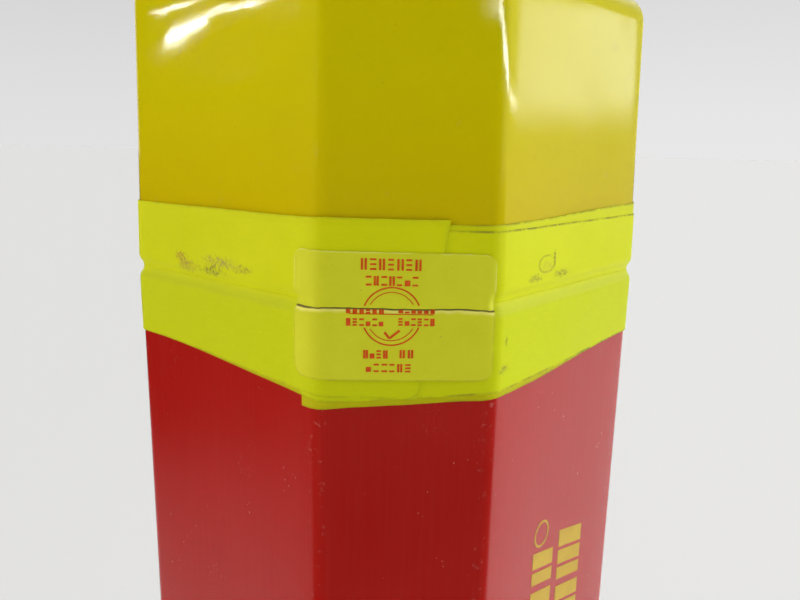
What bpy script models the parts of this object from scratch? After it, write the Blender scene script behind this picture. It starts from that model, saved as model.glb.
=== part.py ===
"""Sealed plastic canister of coated stick electrodes.

A tall square tube with chamfered corners stands on its base. Its mouth is a stepped neck, and a
deep cap slips over the neck and ends flush with the tube at a narrow groove, the seam. One strip
of adhesive tape goes twice round the seam and ends on the front, on top of its own start, and a
paper seal is stuck over its end. Both are slit along the groove, so their upper halves leave with the cap.
The electrodes stand on a pad inside, with their bare grip ends up in the cap.

The origin is the middle of the base, +Z is up, and the front, which carries the seal, is a narrow
face that looks along -Y. Units are metres.
"""

import math

import bmesh
import bpy

MM = 0.001

# The eight-sided section, measured at the seam. Wide and narrow faces alternate.
ACROSS_FLATS = 63.5 * MM
NARROW_FACE = 19.8 * MM
CORNER_RADIUS = 3.0 * MM
LEAST_RADIUS = 0.8 * MM
FACES = 8
TURN = 2 * math.pi / FACES
ARC_STEPS = 4

# Heights above the base.
SEAM = 328.0 * MM
CAP_HEIGHT = 38.0 * MM
NECK_HEIGHT = 20.0 * MM
TOP = SEAM + CAP_HEIGHT

# Walls. Each draft is how far a wall leans in for each metre it goes away from the seam.
CAP_DRAFT = 0.022
TUBE_DRAFT = 0.0054
WALL = 1.5 * MM
NECK_WALL = 1.4 * MM
NECK_CLEARANCE = 0.3 * MM
SEAM_HALF_GAP = 0.4 * MM
LIP = 0.5 * MM
CAP_EDGE_RADIUS = 4.0 * MM
BASE_EDGE_RADIUS = 3.5 * MM
INNER_EDGE_RADIUS = 1.0 * MM
EDGE_STEPS = 5
BASE_RIM = 8.0 * MM
BASE_RECESS = 1.0 * MM
FLOOR = 2.5 * MM

# Tape and seal. A lift is the height of a layer's underside above the wall.
LAYER_GAP = 0.15 * MM
SHEET = 0.2 * MM
LAYER_RISE = LAYER_GAP + SHEET
SLIT_HALF_GAP = 0.5 * MM
FLAT_SHARE = 0.8
TAPE_START_BEFORE_FRONT = 2.5 * MM
TAPE_STEP_UP = 1.2 * MM
TAPE_TURNS = 2
CLIMB_MARGIN = 0.01
TAPE_END_AT_SEAM = 12.8 * MM
TAPE_END_SLANT = 0.16
# Where along the strip, in faces counted from the front, and its edges above and below the seam.
TAPE_EDGES = (
    (-0.3, 8.3 * MM, 12.2 * MM),
    (1.0, 8.7 * MM, 11.1 * MM),
    (2.0, 9.4 * MM, 9.3 * MM),
    (7.0, 9.3 * MM, 9.0 * MM),
    (8.0, 8.0 * MM, 11.2 * MM),
    (9.0, 8.0 * MM, 10.4 * MM),
    (10.0, 8.1 * MM, 9.6 * MM),
    (15.0, 9.3 * MM, 9.0 * MM),
    (16.0, 9.3 * MM, 10.6 * MM),
    (17.0, 9.0 * MM, 11.4 * MM),
)
SEAL_START_BEFORE_FRONT = 3.3 * MM
SEAL_END = FLAT_SHARE + (1 - FLAT_SHARE) * 0.36
SEAL_HEIGHT = 14.3 * MM
SEAL_TOP_LEFT = 5.85 * MM
SEAL_DROP = 0.4 * MM
SEAL_CORNER = 1.3 * MM
SEAL_LIFT = LAYER_GAP + (TAPE_TURNS + 1) * LAYER_RISE

# Electrodes and the pad that they stand on.
FIT_GAP = 0.3 * MM
PAD_THICKNESS = 3.0 * MM
PAD_INSET = 4.6 * MM
ROD_LENGTH = 350.0 * MM
GRIP_LENGTH = 25.0 * MM
COATING_RADIUS = 3.8 * MM
CORE_RADIUS = 2.38 * MM
COATING_TAPER = 2.0 * MM
TIP_BEVEL = 1.0 * MM
ROD_SIDES = 10
ROD_PITCH = 2 * COATING_RADIUS + FIT_GAP
ROD_ROWS = 8
WIDEST_ROW = 7
BUNDLE_TO_CORNER = 23.4 * MM
ROD_BOTTOM = FLOOR + FIT_GAP + PAD_THICKNESS + FIT_GAP

WIDE_APOTHEM = ACROSS_FLATS / 2
NARROW_APOTHEM = (ACROSS_FLATS * math.sqrt(2) - NARROW_FACE) / 2
WIDE_FACE = ACROSS_FLATS - NARROW_FACE * math.sqrt(2)


def clear_scene():
    for thing in list(bpy.data.objects):
        bpy.data.objects.remove(thing, do_unlink=True)


def material(name, colour, roughness, metallic=0.0):
    made = bpy.data.materials.new(name)
    made.use_nodes = True
    shader = made.node_tree.nodes["Principled BSDF"]
    shader.inputs["Base Color"].default_value = (*colour, 1.0)
    shader.inputs["Roughness"].default_value = roughness
    shader.inputs["Metallic"].default_value = metallic
    return made


def make_object(name, points, faces, finish, origin_z=0.0):
    """An object from world-space points, with its origin on the upright axis at origin_z."""
    mesh = bpy.data.meshes.new(name)
    mesh.from_pydata([(x, y, z - origin_z) for x, y, z in points], [], faces)
    shape = bmesh.new()
    shape.from_mesh(mesh)
    bmesh.ops.recalc_face_normals(shape, faces=shape.faces)
    shape.to_mesh(mesh)
    shape.free()
    mesh.materials.append(finish)
    mesh.shade_smooth()
    mesh.set_sharp_from_angle(angle=math.radians(35))
    made = bpy.data.objects.new(name, mesh)
    made.location.z = origin_z
    bpy.context.scene.collection.objects.link(made)
    return made


def facing(face):
    """The angle that a face looks along. Even faces are narrow, and face 0 is the front."""
    return -math.pi / 2 + face * TURN


def corner_centre(face, inset, radius):
    """The centre of the rounded corner between this face and the next one."""
    apothems = (NARROW_APOTHEM, WIDE_APOTHEM)
    first = apothems[face % 2] - inset - radius
    second = apothems[(face + 1) % 2] - inset - radius
    along = (second - first * math.cos(TURN)) / math.sin(TURN)
    angle = facing(face)
    return (
        first * math.cos(angle) - along * math.sin(angle),
        first * math.sin(angle) + along * math.cos(angle),
    )


def corner_point(face, share, inset):
    """A point on the rounded corner after this face, share 0 to 1 of the way round it."""
    radius = max(CORNER_RADIUS - inset, LEAST_RADIUS)
    x, y = corner_centre(face, inset, radius)
    angle = facing(face) + share * TURN
    return x + radius * math.cos(angle), y + radius * math.sin(angle)


def section(inset, z):
    """The whole outline at a height, moved in from the nominal walls by inset."""
    shares = [step / ARC_STEPS for step in range(ARC_STEPS + 1)]
    return [
        (*corner_point(face, share, inset), z) for face in range(FACES) for share in shares
    ]


def loft(name, outlines, finish, origin_z=0.0):
    """A closed solid through outlines of equal length, with its first and last ones filled."""
    count = len(outlines[0])
    points = [point for outline in outlines for point in outline]
    faces = [tuple(range(count)), tuple(range(len(points) - count, len(points)))]
    for ring in range(len(outlines) - 1):
        low = ring * count
        for i in range(count):
            j = (i + 1) % count
            faces.append((low + i, low + j, low + count + j, low + count + i))
    return make_object(name, points, faces, finish, origin_z)


def edge_arc(radius, inset, z, rising):
    """(inset, z) round an edge between a flat end at height z and the wall at this inset."""
    found = []
    for step in range(EDGE_STEPS + 1):
        angle = step / EDGE_STEPS * math.pi / 2
        in_by = radius * (1 - math.sin(angle))
        up_by = radius * (1 - math.cos(angle))
        found.append((inset + in_by, z + up_by if rising else z - up_by))
    return found


def tube_inset(z):
    return TUBE_DRAFT * (SEAM - z)


def cap_inset(z):
    return CAP_DRAFT * (z - SEAM)


def container_body(finish):
    shoulder = SEAM - SEAM_HALF_GAP
    neck_top = SEAM + NECK_HEIGHT
    neck = WALL + NECK_CLEARANCE
    neck_inside = neck + NECK_WALL
    base = tube_inset(0.0)
    profile = [(base + BASE_RIM + BASE_RECESS, BASE_RECESS), (base + BASE_RIM, 0.0)]
    profile += edge_arc(BASE_EDGE_RADIUS, tube_inset(BASE_EDGE_RADIUS), 0.0, rising=True)
    profile += [
        (tube_inset(shoulder - LIP), shoulder - LIP),
        (LIP, shoulder),
        (neck, shoulder),
        (neck + cap_inset(neck_top - LIP), neck_top - LIP),
        (neck + cap_inset(neck_top) + LIP, neck_top),
        (neck_inside + cap_inset(neck_top), neck_top),
        (neck_inside, shoulder - WALL),
        (WALL, shoulder - WALL - (neck_inside - WALL)),
    ]
    inside_wall = WALL + tube_inset(FLOOR + INNER_EDGE_RADIUS)
    profile += reversed(edge_arc(INNER_EDGE_RADIUS, inside_wall, FLOOR, rising=True))
    return loft("container_body", [section(*place) for place in profile], finish)


def cap(finish):
    rim = SEAM + SEAM_HALF_GAP
    ceiling = TOP - WALL
    inner_edge = CAP_EDGE_RADIUS - WALL
    outside = edge_arc(CAP_EDGE_RADIUS, cap_inset(TOP - CAP_EDGE_RADIUS), TOP, rising=False)
    profile = outside + [
        (cap_inset(rim + LIP), rim + LIP),
        (LIP, rim),
        (WALL, rim),
    ]
    inside_wall = WALL + cap_inset(ceiling - inner_edge)
    profile += reversed(edge_arc(inner_edge, inside_wall, ceiling, rising=False))
    return loft("cap", [section(*place) for place in profile], finish, SEAM)


def wall_point(position, z, lift):
    """A point over the outer wall. Position counts faces from the front, going round to the
    right: up to FLAT_SHARE of each step is its flat, and the rest is the corner after it."""
    inset = (cap_inset(z) if z > SEAM else tube_inset(z)) - lift
    face = math.floor(position)
    share = position - face
    if share > FLAT_SHARE:
        return (*corner_point(face, (share - FLAT_SHARE) / (1 - FLAT_SHARE), inset), z)
    start = corner_point(face - 1, 1.0, inset)
    end = corner_point(face, 0.0, inset)
    share /= FLAT_SHARE
    return (start[0] + share * (end[0] - start[0]), start[1] + share * (end[1] - start[1]), z)


def on_flat(face, distance):
    """The position on a face's flat at this distance from its left sharp edge."""
    width = WIDE_FACE if face % 2 else NARROW_FACE
    rounded = CORNER_RADIUS * math.tan(TURN / 2)
    return face + FLAT_SHARE * (distance - rounded) / (width - 2 * rounded)


def breaks_between(start, end):
    """The positions strictly between two others where a strip bends or may change height."""
    found = []
    for face in range(math.floor(start), math.ceil(end)):
        found += [face, face + FLAT_SHARE / 2]
        arc = [step / ARC_STEPS * (1 - FLAT_SHARE) for step in range(ARC_STEPS)]
        found += [face + FLAT_SHARE + share for share in arc]
    return [position for position in found if start + 0.01 < position < end - 0.01]


def strip(name, stations, finish, origin_z=0.0):
    """A thin closed sheet on the wall. Each station is (position low, position high, z low,
    z high, lift)."""
    outlines = []
    for low, high, z_low, z_high, lift in stations:
        outlines.append(
            [
                wall_point(low, z_low, lift),
                wall_point(high, z_high, lift),
                wall_point(high, z_high, lift + SHEET),
                wall_point(low, z_low, lift + SHEET),
            ]
        )
    return loft(name, outlines, finish, origin_z)


def between(table, position):
    """The table's values at this position, on straight lines between its rows."""
    for before, after in zip(table, table[1:]):
        if position <= after[0]:
            share = (position - before[0]) / (after[0] - before[0])
            return [a + share * (b - a) for a, b in zip(before[1:], after[1:])]
    return list(table[-1][1:])


def tape_half(name, upper, finish):
    """One half of the tape. The strip starts just left of the front, goes round to the right,
    steps up over its own start at each new turn and ends on the front in a slanting cut."""
    start = on_flat(-1, WIDE_FACE - TAPE_START_BEFORE_FRONT)
    step_up = on_flat(-1, WIDE_FACE - TAPE_START_BEFORE_FRONT - TAPE_STEP_UP)
    last = on_flat(TAPE_TURNS * FACES, TAPE_END_AT_SEAM - 3 * MM)
    positions = [start]
    layers = [0]
    for turn in range(1, TAPE_TURNS + 1):
        climb = (turn * FACES + step_up, turn * FACES + start - CLIMB_MARGIN)
        level = breaks_between(positions[-1], climb[0])
        positions += level + list(climb)
        layers += [turn - 1] * (len(level) + 1) + [turn]
    level = breaks_between(positions[-1], last)
    positions += level + [last]
    layers += [TAPE_TURNS] * (len(level) + 1)

    stations = []
    for position, layer in zip(positions, layers):
        above, below = between(TAPE_EDGES, position)
        edges = (SLIT_HALF_GAP, above) if upper else (-below, -SLIT_HALF_GAP)
        lift = LAYER_GAP + layer * LAYER_RISE
        stations.append((position, position, SEAM + edges[0], SEAM + edges[1], lift))
    cut = [TAPE_END_AT_SEAM + TAPE_END_SLANT * edge for edge in edges]
    ends = [on_flat(TAPE_TURNS * FACES, distance) for distance in cut]
    stations.append((*ends, *stations[-1][2:]))
    return strip(name, stations, finish, SEAM if upper else 0.0)


def seal_half(name, upper, finish):
    """One half of the paper seal. It is a rectangle with rounded corners that wraps round the
    front's left edge."""
    start = on_flat(-1, WIDE_FACE - SEAL_START_BEFORE_FRONT)
    rounding = [share * SEAL_CORNER for share in (0.0, 0.08, 0.3, 0.6, 1.0)]
    flat_step = FLAT_SHARE / (WIDE_FACE - 2 * CORNER_RADIUS * math.tan(TURN / 2))
    arc_step = (1 - FLAT_SHARE) / (CORNER_RADIUS * TURN)
    left = [start + along * flat_step for along in rounding]
    right = [SEAL_END - along * arc_step for along in reversed(rounding)]
    positions = left + breaks_between(left[-1], right[0]) + right
    stations = []
    for position in positions:
        from_start = (position - start) / flat_step
        from_end = (SEAL_END - position) / arc_step
        near = min(from_start, from_end, SEAL_CORNER)
        cut = SEAL_CORNER - math.sqrt(max(SEAL_CORNER**2 - (SEAL_CORNER - near) ** 2, 0.0))
        top = SEAL_TOP_LEFT - SEAL_DROP * (position - start) / (SEAL_END - start)
        high = SEAM + top - cut
        low = SEAM + top - SEAL_HEIGHT + cut
        if upper:
            low = SEAM + SLIT_HALF_GAP
        else:
            high = SEAM - SLIT_HALF_GAP
        stations.append((position, position, low, high, SEAL_LIFT))
    return strip(name, stations, finish, SEAM if upper else 0.0)


def rod_places():
    """The bundle: close-packed rows, one rod shorter in turn, kept clear of the corners."""
    places = []
    for row in range(ROD_ROWS):
        across = (row - (ROD_ROWS - 1) / 2) * ROD_PITCH * math.sqrt(3) / 2
        count = WIDEST_ROW - (row % 2)
        for i in range(count):
            along = (i - (count - 1) / 2) * ROD_PITCH
            if (abs(along) + abs(across)) / math.sqrt(2) <= BUNDLE_TO_CORNER:
                turned = (along - across, along + across)
                places.append([value / math.sqrt(2) for value in turned])
    return places


def electrode(name, x, y, finish):
    """One electrode: core wire, coating and bare grip end as a single turned solid."""
    coated = ROD_LENGTH - GRIP_LENGTH
    profile = (
        (CORE_RADIUS, 0.0),
        (COATING_RADIUS, TIP_BEVEL),
        (COATING_RADIUS, coated - COATING_TAPER),
        (CORE_RADIUS, coated),
        (CORE_RADIUS, ROD_LENGTH),
    )
    outlines = []
    for radius, height in profile:
        outline = []
        for side in range(ROD_SIDES):
            angle = side / ROD_SIDES * 2 * math.pi
            outline.append(
                (x + radius * math.cos(angle), y + radius * math.sin(angle), ROD_BOTTOM + height)
            )
        outlines.append(outline)
    return loft(name, outlines, finish)


def build():
    clear_scene()
    red = material("red_plastic", (0.42, 0.016, 0.01), 0.45)
    yellow = material("yellow_plastic", (0.62, 0.5, 0.01), 0.18)
    film = material("tape_film", (0.62, 0.72, 0.02), 0.35)
    paper = material("seal_paper", (0.5, 0.55, 0.06), 0.6)
    flux = material("electrode_coating", (0.3, 0.29, 0.27), 0.85)
    felt = material("pad_board", (0.4, 0.29, 0.17), 0.9)

    container_body(red)
    lid = cap(yellow)
    for piece in (tape_half("tape_upper", True, film), seal_half("seal_upper", True, paper)):
        piece.parent = lid
        piece.matrix_parent_inverse = lid.matrix_basis.inverted()
    tape_half("tape_lower", False, film)
    seal_half("seal_lower", False, paper)

    pad_bottom = FLOOR + FIT_GAP
    heights = (pad_bottom, pad_bottom + PAD_THICKNESS)
    loft("base_pad", [section(PAD_INSET, z) for z in heights], felt)
    for number, (x, y) in enumerate(rod_places(), start=1):
        electrode(f"electrode_{number:02d}", x, y, flux)


build()
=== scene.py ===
"""Looks of the sealed electrode canister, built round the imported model.

The canister stands on its base, with its narrow front face towards -Y. Lengths are in metres.
"""

import math
import random

import bmesh
import bpy
from mathutils import Matrix, Vector, noise


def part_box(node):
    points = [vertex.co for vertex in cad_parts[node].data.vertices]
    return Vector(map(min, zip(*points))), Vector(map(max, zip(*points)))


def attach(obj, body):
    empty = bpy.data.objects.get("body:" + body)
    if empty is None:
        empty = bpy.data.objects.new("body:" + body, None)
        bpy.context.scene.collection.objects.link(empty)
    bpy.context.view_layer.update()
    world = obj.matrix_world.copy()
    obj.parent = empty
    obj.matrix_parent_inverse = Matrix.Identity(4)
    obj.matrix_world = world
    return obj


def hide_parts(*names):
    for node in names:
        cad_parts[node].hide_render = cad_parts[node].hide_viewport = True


MM = 0.001

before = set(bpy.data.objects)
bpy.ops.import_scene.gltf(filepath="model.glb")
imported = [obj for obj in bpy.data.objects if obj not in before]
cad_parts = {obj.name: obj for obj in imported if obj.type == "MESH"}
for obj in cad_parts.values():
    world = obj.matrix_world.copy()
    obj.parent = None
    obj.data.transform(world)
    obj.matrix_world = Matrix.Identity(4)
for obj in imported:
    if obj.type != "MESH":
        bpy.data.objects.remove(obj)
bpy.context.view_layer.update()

# The section and the heights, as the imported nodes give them.
BODY_LOW, BODY_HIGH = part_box("container_body")
CAP_LOW, CAP_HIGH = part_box("cap")
SEAM_HALF_GAP = 0.4 * MM
SEAM = CAP_LOW[2] - SEAM_HALF_GAP
TOP = CAP_HIGH[2]
NECK_TOP = BODY_HIGH[2]
NARROW_APOTHEM = BODY_HIGH[1]
ACROSS_FLATS = 63.5 * MM
WIDE_APOTHEM = ACROSS_FLATS / 2
NARROW_FACE = ACROSS_FLATS * math.sqrt(2) - 2 * NARROW_APOTHEM
WIDE_FACE = ACROSS_FLATS - NARROW_FACE * math.sqrt(2)
FACES = 8
TURN = 2 * math.pi / FACES
CORNER_RADIUS = 3.0 * MM
LEAST_RADIUS = 0.8 * MM
CORNER_RUN = CORNER_RADIUS * math.tan(TURN / 2)
FLAT_SHARE = 0.8
# How finely flats (narrow, wide), corners and lips are divided, and what counts as no step.
FLAT_STEPS = (8, 14)
CORNER_STEPS = 7
LIP_STEPS = 6
NO_STEP = 0.004

# Walls. A draft is how far a wall leans in for each metre away from the seam.
CAP_DRAFT = 0.022
TUBE_DRAFT = 0.0054
WALL = 1.5 * MM
NECK_WALL = 1.4 * MM
NECK_CLEARANCE = 0.3 * MM
LIP_RADIUS = 1.2 * MM
CAP_EDGE_RADIUS = 4.0 * MM
BASE_EDGE_RADIUS = 3.5 * MM
BASE_RIM = 8.0 * MM
BASE_RECESS = 1.0 * MM
FLOOR_THICKNESS = 2.5 * MM
NECK_EDGE = 0.5 * MM
BREAK = 0.3 * MM
NARROW_SINK = 0.06 * MM
WIDE_SINK = 0.22 * MM
RIDGE_HEIGHT = 0.05 * MM
RIDGE_HALF_WIDTH = 0.35 * MM

# The cap's dished top, and a gate mark as (radius, height) in millimetres.
TOP_RINGS = 8
TOP_CENTRE_INSET = 13.0 * MM
TOP_DISH = 0.45 * MM
GATE_SIDES = 40
GATE_PROFILE = (
    ((0.2, -0.3), (2.9, -0.3), (2.8, 0.06), (2.6, 0.12), (2.4, 0.06))
    + ((2.25, -0.08), (0.95, -0.06), (0.75, 0.1), (0.6, 0.25), (0.2, 0.28))
)

# Tape: where along it, in faces counted from the front, and how far its edges lie above and
# below the seam, in millimetres.
TAPE_EDGES = (
    (-0.3, 8.3, 12.2),
    (1.0, 8.7, 11.1),
    (2.0, 9.7, 8.8),
    (7.0, 8.9, 9.0),
    (8.0, 8.0, 11.2),
    (9.0, 8.0, 10.4),
    (10.0, 8.0, 9.0),
    (15.0, 8.95, 9.0),
    (16.0, 9.3, 10.6),
    (17.0, 9.0, 11.4),
)
TAPE_TURNS = 2
TAPE_START_BEFORE_FRONT = 2.5 * MM
TAPE_END_AT_SEAM = 12.8 * MM
TAPE_END_SLANT = 0.16
FILM = 0.09 * MM
FILM_GAP = 0.02 * MM
FILM_RISE = FILM + FILM_GAP
TAPE_CLIMB = 0.8 * MM
TAPE_SLIT = 0.012 * MM
TAPE_ROWS = 19
TAPE_EDGE_SHARE = 0.012
EDGE_WANDER = 0.12 * MM
EDGE_NICKS = 0.05 * MM
RIPPLE = 0.025 * MM
PUCKER = 0.012 * MM
GROOVE_BRIDGE = 0.85 * MM
GROOVE_DEPTH = 0.603 * MM

# Seal.
SEAL_START_BEFORE_FRONT = 3.3 * MM
SEAL_END = FLAT_SHARE + (1 - FLAT_SHARE) * 0.36
SEAL_HEIGHT = 14.3 * MM
SEAL_TOP_LEFT = 5.85 * MM
SEAL_DROP = 0.4 * MM
SEAL_CORNER = 1.3 * MM
SEAL_SLIT = 0.015 * MM
SEAL_GLUE = 0.05 * MM
SEAL_CURL = 0.12 * MM
SEAL_CURL_HEIGHT = 1.5 * MM
CRINKLE = 0.02 * MM
SEAL_ROUNDING = (0.0, 0.01, 0.04, 0.09, 0.16, 0.26, 0.38, 0.52, 0.68, 0.85, 1.0)
NEAR_CREASE = (0.0, 0.12, 0.25, 0.4, 0.6, 0.85, 1.15, 1.5, 2.0)
SEAL_ROWS_LEFT = 9
UNFOLDED = 9.0
PAPER = 0.1 * MM

# Print.
INK = 0.02 * MM
INK_CLEARANCE = 0.012 * MM
RING_PIECES = 48
CREASE_MARGIN = 0.06 * MM

# Electrodes.
CORE_RADIUS = 2.38 * MM
GRIP_LENGTH = 25.0 * MM
ELECTRODE_SIDES = 28
BRUSHED_RINGS = range(6, 10)
BRUSHED = 0.22 * MM


# ---- shape helpers


def new_object(name, points, faces, *finishes, sharp=40.0, finish_of=None):
    mesh = bpy.data.meshes.new(name)
    mesh.from_pydata(points, [], faces)
    for finish in finishes:
        mesh.materials.append(finish)
    if finish_of:
        for polygon, index in zip(mesh.polygons, finish_of):
            polygon.material_index = index
    shape = bmesh.new()
    shape.from_mesh(mesh)
    bmesh.ops.recalc_face_normals(shape, faces=shape.faces)
    shape.to_mesh(mesh)
    shape.free()
    mesh.shade_smooth()
    mesh.set_sharp_from_angle(angle=math.radians(sharp))
    made = bpy.data.objects.new(name, mesh)
    bpy.context.scene.collection.objects.link(made)
    return made


def facing(face):
    """The angle that a face looks along. Even faces are narrow, and face 0 is the front."""
    return -math.pi / 2 + face * TURN


def corner_point(face, share, inset):
    """A point on the rounded corner after this face, share 0 to 1 of the way round it."""
    radius = max(CORNER_RADIUS - inset, LEAST_RADIUS)
    apothems = (NARROW_APOTHEM, WIDE_APOTHEM)
    first = apothems[face % 2] - inset - radius
    second = apothems[(face + 1) % 2] - inset - radius
    along = (second - first * math.cos(TURN)) / math.sin(TURN)
    angle = facing(face)
    turned = angle + share * TURN
    return (
        first * math.cos(angle) - along * math.sin(angle) + radius * math.cos(turned),
        first * math.sin(angle) + along * math.cos(angle) + radius * math.sin(turned),
    )


def outline_point(position, inset):
    """A point of the section. Position counts faces from the front, going round to the right: up
    to FLAT_SHARE of each step is its flat, and the rest is the rounded corner after it."""
    face = math.floor(position)
    share = position - face
    if share > FLAT_SHARE:
        return corner_point(face, (share - FLAT_SHARE) / (1 - FLAT_SHARE), inset)
    start = corner_point(face - 1, 1.0, inset)
    end = corner_point(face, 0.0, inset)
    share /= FLAT_SHARE
    return start[0] + share * (end[0] - start[0]), start[1] + share * (end[1] - start[1])


def on_flat(face, distance):
    """The position on a face's flat at this distance from its left sharp edge."""
    width = WIDE_FACE if face % 2 else NARROW_FACE
    return face + FLAT_SHARE * (distance - CORNER_RUN) / (width - 2 * CORNER_RUN)


def wall_inset(z):
    """How far the outer wall leans in at this height, without its lips at the groove."""
    return CAP_DRAFT * (z - SEAM) if z > SEAM else TUBE_DRAFT * (SEAM - z)


def lip_inset(from_seam):
    """How far a lip's round turns in at this distance from the seam."""
    into = LIP_RADIUS + SEAM_HALF_GAP - from_seam
    if into <= 0:
        return 0.0
    return LIP_RADIUS - math.sqrt(max(LIP_RADIUS**2 - min(into, LIP_RADIUS) ** 2, 0.0))


def skin_inset(z):
    """The surface that tape and seal lie on: the wall, its lips, and a sag across the groove."""
    from_seam = abs(z - SEAM)
    if from_seam < GROOVE_BRIDGE:
        dip = GROOVE_DEPTH * (1 - 0.564 * (from_seam / GROOVE_BRIDGE) ** 2)
    else:
        dip = lip_inset(from_seam)
    return wall_inset(z) + dip


def facing_out(position):
    """The outward direction of the section at this position."""
    face = math.floor(position)
    share = max(position - face - FLAT_SHARE, 0.0) / (1 - FLAT_SHARE)
    angle = facing(face) + share * TURN
    return Vector((math.cos(angle), math.sin(angle), 0.0))


def face_positions(face, finer=1):
    """Positions along one flat and the corner after it, close together on the corner."""
    steps = FLAT_STEPS[face % 2] * finer
    found = [face + FLAT_SHARE * step / steps for step in range(steps)]
    corner = face + FLAT_SHARE
    turn = 1 - FLAT_SHARE
    return found + [corner + turn * step / CORNER_STEPS for step in range(CORNER_STEPS)]


def ring_positions():
    return [position for face in range(FACES) for position in face_positions(face)]


def positions_between(start, end, finer=1):
    """Positions strictly between two others."""
    faces = range(math.floor(start), math.ceil(end))
    found = [position for face in faces for position in face_positions(face, finer)]
    return [place for place in found if start + NO_STEP < place < end - NO_STEP]


def smooth(value):
    value = min(max(value, 0.0), 1.0)
    return value * value * (3 - 2 * value)


def edge_arc(radius, inset, z, rising, steps=8):
    """(inset, z) round an edge between a flat end at height z and the wall at this inset."""
    found = []
    for step in range(steps + 1):
        angle = step / steps * math.pi / 2
        up_by = radius * (1 - math.cos(angle))
        found.append((inset + radius * (1 - math.sin(angle)), z + up_by if rising else z - up_by))
    return found


def lip_arc(from_seam_sign):
    """(inset, z) from the wall round a lip to its flat rim."""
    found = []
    for step in range(LIP_STEPS + 1):
        angle = step / LIP_STEPS * math.pi / 2
        from_seam = SEAM_HALF_GAP + LIP_RADIUS * (1 - math.sin(angle))
        z = SEAM + from_seam_sign * from_seam
        found.append((wall_inset(z) + LIP_RADIUS * (1 - math.cos(angle)), z))
    return found


def upright(low, high, steps):
    """(inset, z) at even steps strictly between two profile points."""
    shares = [step / steps for step in range(1, steps)]
    return [tuple(a + share * (b - a) for a, b in zip(low, high)) for share in shares]


def ring_faces(rows, count):
    """Faces of stacked rings with this many points each: the two ends, then the sides."""
    faces = [tuple(range(count)), tuple(range((rows - 1) * count, rows * count))]
    for row in range(rows - 1):
        for side in range(count):
            a = row * count + side
            b = row * count + (side + 1) % count
            faces.append((a, b, b + count, a + count))
    return faces


def slab_faces(columns, rows, first=0):
    """Faces of a thin closed slab: a grid of points by columns, then the same grid above it."""
    half = columns * rows
    faces = []
    for i in range(columns - 1):
        for j in range(rows - 1):
            a = first + i * rows + j
            b = a + half
            faces += [(a, a + 1, a + rows + 1, a + rows), (b, b + rows, b + rows + 1, b + 1)]
    rim = [i * rows for i in range(columns)]
    rim += [(columns - 1) * rows + j for j in range(1, rows)]
    rim += [i * rows + rows - 1 for i in range(columns - 2, -1, -1)]
    rim += list(range(rows - 2, 0, -1))
    for here, there in zip(rim, rim[1:] + rim[:1]):
        a, b = first + here, first + there
        faces.append((a, b, b + half, a + half))
    return faces


def give(made, name, values):
    """Stores one number for each point, for a material to read."""
    made.data.attributes.new(name, "FLOAT", "POINT").data.foreach_set("value", values)


def shell(name, profile, finish, shift):
    """A closed solid of rings of the section. shift(position, inset, z) moves each point out."""
    positions = ring_positions()
    points = []
    for inset, z in profile:
        for position in positions:
            x, y = outline_point(position, inset)
            out = facing_out(position) * shift(position, inset, z)
            points.append((x + out.x, y + out.y, z))
    made = new_object(name, points, ring_faces(len(profile), len(positions)), finish)
    corner = [float(position % 1.0 > FLAT_SHARE - 0.001) for position in positions]
    give(made, "corner", corner * len(profile))
    return made


# ---- material helpers


class Nodes:
    """Short calls that add shader nodes to one tree."""

    def __init__(self, tree):
        self.tree = tree

    def put(self, node, socket, value):
        if isinstance(value, bpy.types.NodeSocket):
            self.tree.links.new(value, node.inputs[socket])
        else:
            node.inputs[socket].default_value = value

    def add(self, kind, inputs=None, **settings):
        node = self.tree.nodes.new(kind)
        for name, value in settings.items():
            setattr(node, name, value)
        for socket, value in (inputs or {}).items():
            self.put(node, socket, value)
        return node

    def math(self, operation, first, second=0.0, clamp=False):
        inputs = {0: first, 1: second}
        return self.add("ShaderNodeMath", inputs, operation=operation, use_clamp=clamp).outputs[0]

    def plus(self, first, second):
        return self.math("ADD", first, second)

    def times(self, first, second, clamp=False):
        return self.math("MULTIPLY", first, second, clamp)

    def remap(self, value, low, high, to_low=0.0, to_high=1.0, kind="LINEAR"):
        inputs = {0: value, 1: low, 2: high, 3: to_low, 4: to_high}
        return self.add("ShaderNodeMapRange", inputs, interpolation_type=kind).outputs[0]

    def vector(self, operation, first, second):
        inputs = {0: first, 3 if operation == "SCALE" else 1: second}
        outputs = self.add("ShaderNodeVectorMath", inputs, operation=operation).outputs
        return outputs["Value" if operation == "DOT_PRODUCT" else "Vector"]

    def mix(self, share, first, second):
        """Second over first by this share. A tuple is a red, a green and a blue."""
        node = self.add("ShaderNodeMix", data_type="RGBA")
        for socket, value in ((0, share), (6, first), (7, second)):
            self.put(node, socket, (*value, 1.0) if isinstance(value, tuple) else value)
        return node.outputs[2]


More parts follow.
